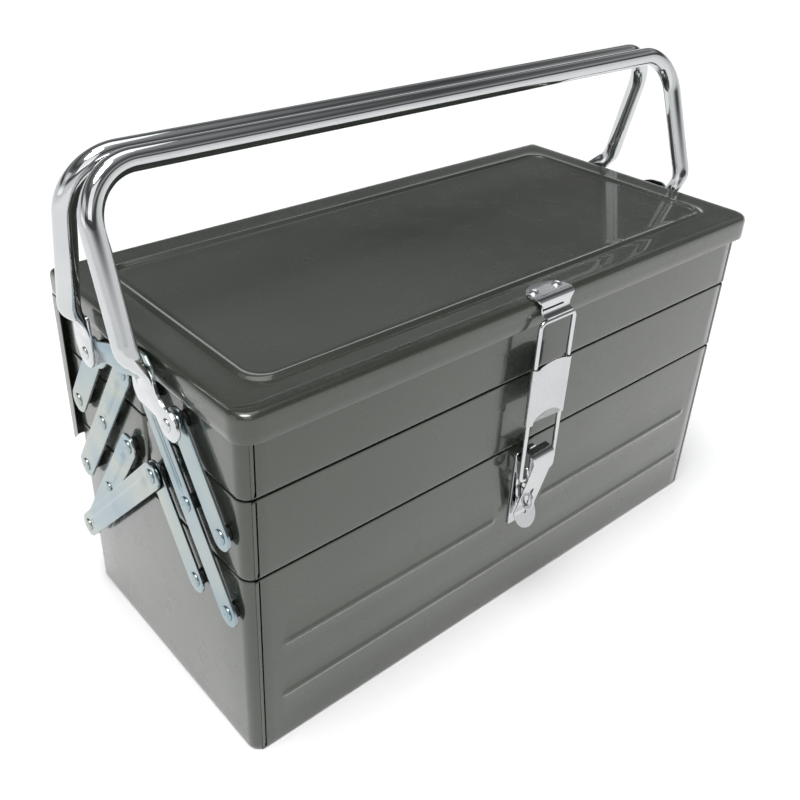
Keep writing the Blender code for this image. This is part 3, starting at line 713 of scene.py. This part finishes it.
def handle(name, node, body, grip, leg, feet, outline, rivets, seam):
    top, low = Vector((0, *grip)), Vector((0, *leg))
    down = (low - top).normalized()
    normal = Vector((1, 0, 0)).cross(down).normalized()
    if normal.y > 0:
        normal = -normal
    leg_len = (low - top).length
    SEG = 40

    def side_points(sx):
        pts = []
        cx = sx * (TUBE_X - BEND_R)
        for k in range(25):
            a = math.radians(90 * k / 24)
            c = Vector((cx + sx * BEND_R * math.sin(a), 0, 0)) + top + down * (BEND_R * (1 - math.cos(a)))
            t = Vector((sx * math.cos(a), 0, 0)) + down * math.sin(a)
            pts.append((c, t, TUBE_R, TUBE_R, 0.0))
        legs = [(TUBE_R, TUBE_R, TUBE_X, top.y + down.y * (BEND_R + 8), top.z + down.z * (BEND_R + 8)),
                (TUBE_R, TUBE_R, TUBE_X, top.y + down.y * (leg_len - 10), top.z + down.z * (leg_len - 10)),
                (TUBE_R, TUBE_R, TUBE_X, leg[0], leg[1])] + [tuple(f) for f in feet]
        for i, (w, t_, x, y, z) in enumerate(catmull(legs, 8)):
            flat = min(max((TUBE_R - t_) / (TUBE_R - 1.0), 0.0), 1.0)
            pts.append((Vector((sx * x, y, z)), down, w, t_, flat))
        return pts

    left = [(c, -t, w, h, fl) for c, t, w, h, fl in side_points(-1)[::-1]]
    grips = [(Vector((-TUBE_X + BEND_R + (2 * (TUBE_X - BEND_R)) * k / 12, 0, 0)) + top, Vector((1, 0, 0)), TUBE_R, TUBE_R, 0.0) for k in range(1, 12)]
    rings = []
    for c, t, w, h, fl in left + grips + side_points(1):
        t = t.normalized()
        wide = (normal - t * normal.dot(t)).normalized()
        thick = t.cross(wide)
        ring = []
        for k in range(SEG):
            a = 2 * math.pi * k / SEG
            cw, sw = math.cos(a), math.sin(a)
            # flattened tube keeps round edges and gets flat faces
            e = 1.0 - 0.22 * fl
            px = w * math.copysign(abs(cw) ** e, cw)
            py = h * math.copysign(abs(sw) ** e, sw)
            inward = thick * py + wide * px
            ring.append(tuple(c + inward))
        rings.append(ring)
    bm = bmesh.new()
    add_rings(bm, rings)
    for s_ in (-1, 1):
        plate(bm, smooth_outline(outline, 2.6), TONGUE_IN, TONGUE_OUT, s_, 0.6)
        for (y, z), r in rivets:
            rivet(bm, s_, y, z, TONGUE_OUT, TONGUE_HEAD, r)
    ob = finish_mesh(name, bm, CHROME, body, [node], 38, [CHROME, PAINTED_SHADE])
    return ob


FRONT_GRIP, FRONT_LEG = (-1.4, 332.7), (-31.1, 250.0)
REAR_GRIP, REAR_LEG = (15.2, 332.3), (32.8, 250.0)
handle("front_tube_handle", "front_handle", "front_handle", FRONT_GRIP, FRONT_LEG,
       ((6.5, 5.6, 233.8, -32.6, 244.0), (7.3, 4.0, 230.4, -31.6, 237.5), (8.2, 2.3, 227.0, -29.4, 230.5), (8.8, 1.1, 224.9, -27.4, 222.0), (8.6, 0.9, 224.8, -26.4, 216.0)),
       [(-14.6, 231.0), (-13.4, 224.5), (-13.6, 216.4), (-18.3, 210.6), (-26.1, 210.8), (-36.9, 210.0), (-41.7, 204.0), (-46.8, 201.8),
        (-53.6, 202.3), (-58.3, 206.6), (-59.4, 211.0), (-56.6, 216.8), (-51.6, 220.0), (-46.0, 219.6), (-40.4, 222.7), (-36.5, 231.6), (-26.4, 236.0)],
       [(A1, 3.9)], 1)
handle("rear_tube_handle", "rear_handle", "rear_handle", REAR_GRIP, REAR_LEG,
       ((6.6, 5.6, 233.9, 34.6, 244.0), (7.5, 4.0, 230.4, 38.6, 238.5), (8.6, 2.3, 227.0, 43.0, 232.0), (9.2, 1.1, 224.9, 45.4, 224.0), (9.0, 0.9, 224.8, 46.0, 217.0)),
       [(36.2, 236.0), (36.0, 216.8), (35.8, 206.5), (39.5, 202.4), (46.5, 202.0), (51.5, 205.0), (53.5, 209.0), (56.5, 214.0), (56.8, 229.0), (52.0, 236.0)],
       [(G1, 3.9)], -1)


# ================================================================ latch
def box_bm(bm, x0, x1, y0, y1, z0, z1, mat=0):
    add_rings(bm, [[(x0, y0, z), (x1, y0, z), (x1, y1, z), (x0, y1, z)] for z in (z0, z1)], mat=mat)


def sheet_strip(path, half, thick, n_edge=1):
    """Bent sheet following path (y, z), with half widths per point, as one closed body along X."""
    pts = [Vector(p) for p in path]
    rings = []
    m = len(pts)
    for i, p in enumerate(pts):
        a = (pts[i] - pts[i - 1]).normalized() if i else (pts[1] - pts[0]).normalized()
        b = (pts[i + 1] - pts[i]).normalized() if i < m - 1 else a
        t = (a + b).normalized()
        nrm = Vector((-t.y, t.x))
        w = half[i]
        e = min(0.25, thick * 0.4)
        o = p + nrm * 0
        q = p + nrm * thick
        rings.append([(-w + e, o.x, o.y), (w - e, o.x, o.y), (w, *(o + nrm * e)), (w, *(q - nrm * e)), (w - e, q.x, q.y), (-w + e, q.x, q.y), (-w, *(q - nrm * e)), (-w, *(o + nrm * e))])
    return rings


def bezier(p0, p1, p2, n):
    return [((1 - t) ** 2 * p0[0] + 2 * t * (1 - t) * p1[0] + t * t * p2[0], (1 - t) ** 2 * p0[1] + 2 * t * (1 - t) * p1[1] + t * t * p2[1]) for t in [k / n for k in range(n + 1)]]


def boolean(ob, bm, operation):
    me = bpy.data.meshes.new("tool")
    bmesh.ops.recalc_face_normals(bm, faces=bm.faces)
    bm.to_mesh(me)
    bm.free()
    tool = bpy.data.objects.new("tool", me)
    bpy.context.scene.collection.objects.link(tool)
    mod = ob.modifiers.new("b", "BOOLEAN")
    mod.operation = operation
    mod.solver = "EXACT"
    mod.object = tool
    apply_modifiers(ob)
    bpy.data.objects.remove(tool, do_unlink=True)
    bpy.data.meshes.remove(me)
    ob.data.shade_smooth()
    ob.data.set_sharp_from_angle(angle=math.radians(32))


PY, PZ = -110.0, 119.5
QY, QZ = -110.5, 113.5
BACK = -HD - GAP

# base plate with two ears and a padlock eye
bm = bmesh.new()
outl = []
for cx, cz, a0 in ((9.2 - 1.5, 68.5 + 1.5, -90), (9.2 - 1.5, 127.0 - 1.5, 0), (-9.2 + 1.5, 127.0 - 1.5, 90), (-9.2 + 1.5, 68.5 + 1.5, 180)):
    for k in range(5):
        a = math.radians(a0 + 90 * k / 4)
        outl.append((cx + 1.5 * math.cos(a), cz + 1.5 * math.sin(a)))
rows = []
for y, d in ((BACK, 0.0), (BACK - 0.8, 0.0), (BACK - 1.0, 0.1), (BACK - 1.1, 0.3)):
    rows.append([(x, y, z) for x, z in (shrink(outl, d) if d else outl)])
add_rings(bm, rows)
for s in (-1, 1):
    ear = smooth_outline([(BACK - 0.6, 112.0), (BACK - 0.6, 121.5), (-106.0, 123.4), (-110.2, 123.4), (-112.2, 121.9), (-112.8, 119.5), (-111.9, 116.6), (-108.0, 112.0)], 1.2)
    plate(bm, ear, 7.4, 8.5, s, 0.2)
add_eye = [(BACK - 0.6, 81.5)] + [(-105.0 - 7.5 * math.cos(math.radians(a)), 89.0 + 7.5 * math.sin(math.radians(a))) for a in range(-90, 91, 9)] + [(BACK - 0.6, 96.5)]
hole = [(-106.6 + 4.0 * math.cos(2 * math.pi * k / 28), 89.0 + 4.5 * math.sin(2 * math.pi * k / 28)) for k in range(28)]
ob = finish_mesh("latch_plate", bm, CHROME, "base", ["latch_base_plate"], 32)
bm = bmesh.new()
add_rings(bm, [[(x, y, z) for y, z in shrink(add_eye, d)] for x, d in ((-0.9, 0.35), (-0.65, 0.08), (-0.4, 0.0), (0.4, 0.0), (0.65, 0.08), (0.9, 0.35))])
eye = finish_mesh("latch_eye", bm, CHROME, "base", [], 32)
bm = bmesh.new()
add_rings(bm, [[(x, y, z) for y, z in hole] for x in (-3, 3)])
boolean(eye, bm, "DIFFERENCE")


# lever: rolled top, sloping plate with a slot, fold, round finger tab; two cheeks
path = bezier((-107.5, 133.0), (-111.2, 133.1), (-114.2, 131.6), 6) + bezier((-114.8, 131.0), (-116.4, 128.7), (-116.2, 125.6), 8)
path += [(-116.2 + 10.3 * t, 125.6 - 43.0 * t) for t in (0.1, 0.3, 0.5, 0.7, 0.85, 0.95)]
path += bezier((-105.75, 82.0), (-105.4, 80.6), (-106.0, 79.4), 5)
tab_top = (-106.0, 79.4)
tab_end = (-111.4, 69.0)
tab = [(tab_top[0] + (tab_end[0] - tab_top[0]) * t, tab_top[1] + (tab_end[1] - tab_top[1]) * t) for t in (0.12, 0.25, 0.4, 0.52, 0.64, 0.75, 0.84, 0.91, 0.96, 0.99, 1.0)]
half = [9.95] * len(path)
LT = math.hypot(tab_top[0] - tab_end[0], tab_top[1] - tab_end[1])
for t in (0.12, 0.25, 0.4, 0.52, 0.64, 0.75, 0.84, 0.91, 0.96, 0.99, 1.0):
    dist = t * LT
    c = LT - 9.8
    if dist <= c:
        half.append(9.9)
    else:
        half.append(max(math.sqrt(max(9.85 ** 2 - (dist - c) ** 2, 0.0)), 1.2))
path = path + tab
bm = bmesh.new()
add_rings(bm, sheet_strip(path, half, 1.0))
lever = finish_mesh("latch_handle", bm, CHROME, "lever", ["latch_lever"], 32)
slot_out = []
for cz, a0 in ((79.4, 180), (98.6, 0)):
    for k in range(9):
        a = math.radians(a0 + 180 * k / 8)
        slot_out.append((1.7 * math.cos(a), cz + 1.7 * math.sin(a)))
bm = bmesh.new()
add_rings(bm, [[(x, y, z) for x, z in slot_out] for y in (-118.0, -101.0)])
boolean(lever, bm, "DIFFERENCE")
bm = bmesh.new()
cheek = smooth_outline([(-115.9, 126.0), (-115.2, 129.4), (-113.4, 131.3), (-110.6, 132.2), (-107.8, 132.1), (-105.4, 124.0), (-104.6, 112.5), (-106.5, 109.5), (-111.9, 109.4)], 1.2)
for s in (-1, 1):
    plate(bm, cheek, 8.95, 9.95, s, 0.2)
    rivet(bm, s, PY, PZ, 9.9, 10.9, 2.6)
finish_mesh("latch_cheeks", bm, CHROME, "lever", [], 32)

# bail
BX, BR = 15.0, 1.5


def wire_mesh(points, r, seg=16):
    pts = [Vector(p) for p in points]
    rings = []
    ref = Vector((0, 1, 0))
    for i, p in enumerate(pts):
        a = (pts[i] - pts[i - 1]).normalized() if i else None
        b = (pts[i + 1] - pts[i]).normalized() if i < len(pts) - 1 else None
        t = ((a or b) + (b or a)).normalized()
        u = (ref - t * ref.dot(t)).normalized()
        v = t.cross(u)
        rings.append([tuple(p + u * (r * math.cos(2 * math.pi * k / seg)) + v * (r * math.sin(2 * math.pi * k / seg))) for k in range(seg)])
    return rings


def arc(sx, z, up_, r, n=10):
    return [(sx * (BX - r + r * math.cos(math.radians(90 * k / n))), QY, z - up_ * r + up_ * r * math.sin(math.radians(90 * k / n))) for k in range(n + 1)]


half_w = [(-10.35, QY, QZ)] + arc(-1, QZ, -1, 2.8)[::-1][1:]
half_w += [(-BX, QY, z) for z in (130.0, 150.0, 170.0, 190.0, 210.0)]
half_w += arc(-1, 227.5, 1, 3.6)
wire = half_w + [(-x, y, z) for x, y, z in half_w[::-1]]
bm = bmesh.new()
add_rings(bm, wire_mesh(wire, BR))
finish_mesh("latch_wire", bm, CHROME, "bail", ["latch_bail"], 40)

# sleeve: sheet wrapped round both legs, arched upper and lower edges
gx, gy, th = BX, BR + 0.25, 0.7
outer, inner = [], []
N = 12
for k in range(N + 1):                                  # left wrap, from the inside of the back round to the front
    a = math.radians(60 + 210 * k / N)
    outer.append((-gx + (gy + th) * math.cos(a), (gy + th) * math.sin(a)))
    inner.append((-gx + gy * math.cos(a), gy * math.sin(a)))
for x in (-gx + 1.6, -gx + 2.5, -gx + 3.0, -gx + 3.5, -9.0, -6.0, -3.0, 0.0, 3.0, 6.0, 9.0, gx - 3.5, gx - 3.0, gx - 2.5, gx - 1.6):
    dip = 0.55 if abs(x) < gx - 2.9 else (0.3 if abs(x) < gx - 2.4 else 0.0)
    outer.append((x, -(gy + th) + dip))
    inner.append((x, -gy + dip))
for k in range(N + 1):
    a = math.radians(270 + 210 * k / N)
    outer.append((gx + (gy + th) * math.cos(a), (gy + th) * math.sin(a)))
    inner.append((gx + gy * math.cos(a), gy * math.sin(a)))
ring0 = outer + inner[::-1]
rings = []
for f in [k / 20 for k in range(21)]:
    ring = []
    for x, y in ring0:
        t = max(1 - (x / (gx - 2.2)) ** 2, 0.0) if abs(x) < gx - 2.2 else 0.0
        lo = 157.0 + 6.5 * math.sqrt(t) if t > 0 else 157.0
        hi = 197.0 + 2.2 * t
        ring.append((x, QY + y, lo + (hi - lo) * f))
    rings.append(ring)
bm = bmesh.new()
add_rings(bm, rings)
finish_mesh("latch_wrap", bm, SATIN, "bail", ["latch_sleeve"], 32)

# strike on the lid: rounded plate, bend, valley and lip, two rivets
spath = [(-90.0, 0.3), (-93.0, 0.3), (-96.0, 0.3), (-99.0, 0.3), (-102.0, 0.3), (-104.5, 0.3)]
spath = [(y, LID_TOP + z) for y, z in spath]
spath += bezier((-105.4, LID_TOP + 0.3), (-107.4, LID_TOP + 0.2), (-107.4, LID_TOP - 1.8), 6)
spath += bezier((-107.5, 236.8), (-106.2, 231.2), (-109.2, 230.2), 8)
spath += [(-110.4, 229.85), (-111.8, 229.6)]
sh = []
for y, z in spath:
    if z > LID_TOP - 0.5 and y > -105:
        t = min(max((y + 105.0) / 15.0, 0.0), 1.0)
        sh.append(15.5 * math.sqrt(max(1 - (t * 0.985) ** 2.6, 0.0)) + 0.4)
    elif z > 236:
        sh.append(15.5 - 3.4 * min(max((LID_TOP + 0.3 - z) / 4.0, 0.0), 1.0))
    else:
        sh.append(12.1 - 0.9 * min(max((236 - z) / 6.0, 0.0), 1.0))
bm = bmesh.new()
add_rings(bm, sheet_strip(spath, sh, -1.1))
for sx in (-1, 1):
    prev = None
    for z_, r_ in ((LID_TOP + 1.2, 3.9), (LID_TOP + 1.75, 3.7), (LID_TOP + 2.0, 3.2), (LID_TOP + 1.7, 2.6), (LID_TOP + 2.0, 2.1), (LID_TOP + 2.35, 1.4), (LID_TOP + 2.45, 0.01)):
        ring = [bm.verts.new(Vector((sx * 10.2 + r_ * math.cos(2 * math.pi * k / 24), -98.2 + r_ * math.sin(2 * math.pi * k / 24), z_)) * MM) for k in range(24)]
        if prev:
            for k in range(24):
                bm.faces.new((prev[k], prev[(k + 1) % 24], ring[(k + 1) % 24], ring[k]))
        prev = ring
finish_mesh("latch_catch", bm, CHROME, "cover", ["latch_strike"], 32)

# ================================================================ carried-over CAD pieces
for node, mat in (("hinge_leaf_base", ZINC), ("hinge_leaf_cover", ZINC), ("hinge_pin", ZINC_RIVET), ("latch_pivot_pin", ZINC_RIVET)):
    ob = NODES[node]
    ob.data.materials.clear()
    ob.data.materials.append(mat)

# ================================================================ stage, light, camera
fl = Net("pale_floor")
fl.link(fl.ramp(fl.noise(3.0, 2.0), [(0.3, (0.885, 0.885, 0.885)), (0.7, (0.895, 0.895, 0.895))]), fl.bsdf.inputs["Base Color"])
fl.bsdf.inputs["Roughness"].default_value = 0.9
fl.bsdf.inputs["Specular IOR Level"].default_value = 0.15
bm = bmesh.new()
vs = [bm.verts.new((x, y, 0)) for x, y in ((-8, -8), (8, -8), (8, 8), (-8, 8))]
bm.faces.new(vs)
floor = finish_mesh("floor", bm, fl.m, None, [])

world = bpy.data.worlds.new("studio")
bpy.context.scene.world = world
world.use_nodes = True
wt = world.node_tree
bg = wt.nodes["Background"]
tc = wt.nodes.new("ShaderNodeTexCoord")
sep = wt.nodes.new("ShaderNodeSeparateXYZ")
wr = wt.nodes.new("ShaderNodeValToRGB")
wt.links.new(tc.outputs["Generated"], sep.inputs[0])
wt.links.new(sep.outputs["Z"], wr.inputs["Fac"])
els = wr.color_ramp.elements
els[0].position, els[0].color = 0.0, (1.0, 1.0, 1.0, 1)
els[1].position, els[1].color = 1.0, (0.62, 0.63, 0.64, 1)
for pos, c in ((0.14, 1.00), (0.21, 0.70), (0.29, 0.07), (0.38, 0.10), (0.48, 0.50), (0.58, 0.20), (0.72, 0.08), (0.86, 0.30)):
    e = els.new(pos)
    e.color = (c, c * 1.01, c * 1.02, 1)
wt.links.new(wr.outputs["Color"], bg.inputs["Color"])
bg.inputs["Strength"].default_value = 0.9


def area(name, loc, target, size, size_y, power):
    l = bpy.data.lights.new(name, "AREA")
    l.shape = "RECTANGLE"
    l.size, l.size_y, l.energy = size, size_y, power
    ob = bpy.data.objects.new(name, l)
    bpy.context.scene.collection.objects.link(ob)
    d = Vector(target) - Vector(loc)
    ob.matrix_world = Matrix.Translation(Vector(loc)) @ d.to_track_quat("-Z", "Y").to_matrix().to_4x4()
    return ob


area("key", (-1.4, -1.9, 2.1), (0, 0, 0.15), 1.6, 1.6, 9)
area("fill_left", (-2.1, 0.3, 1.0), (0, 0, 0.15), 1.2, 1.2, 2.5)
area("top", (0.1, 0.5, 2.6), (0, 0, 0.1), 1.6, 1.2, 9)
sun = bpy.data.lights.new("sky_sun", "SUN")
sun.energy = 2.75
sun.angle = math.radians(30)
sun_ob = bpy.data.objects.new("sky_sun", sun)
bpy.context.scene.collection.objects.link(sun_ob)
sun_ob.rotation_euler = (math.radians(8), math.radians(-14), 0)

az, el, roll = math.radians(-41.0931), math.radians(30.3262), math.radians(1.9327)
b = Vector((math.sin(az) * math.cos(el), -math.cos(az) * math.cos(el), math.sin(el)))
r = Vector((0, 0, 1)).cross(b).normalized()
u = b.cross(r)
r2 = r * math.cos(roll) + u * math.sin(roll)
u2 = -r * math.sin(roll) + u * math.cos(roll)
loc = Vector((-0.40291, -0.40711, 0.47758))
cam_data = bpy.data.cameras.new("photo_view")
cam_data.sensor_width = 36
cam_data.lens = 930.234 / 800 * 36
cam_data.shift_x, cam_data.shift_y = 0.0349, -0.0460
cam = bpy.data.objects.new("photo_view", cam_data)
cam.matrix_world = Matrix(((r2.x, u2.x, b.x, loc.x), (r2.y, u2.y, b.y, loc.y), (r2.z, u2.z, b.z, loc.z), (0, 0, 0, 1)))
bpy.context.scene.collection.objects.link(cam)
bpy.context.scene.camera = cam
bpy.context.scene.view_settings.view_transform = "Standard"
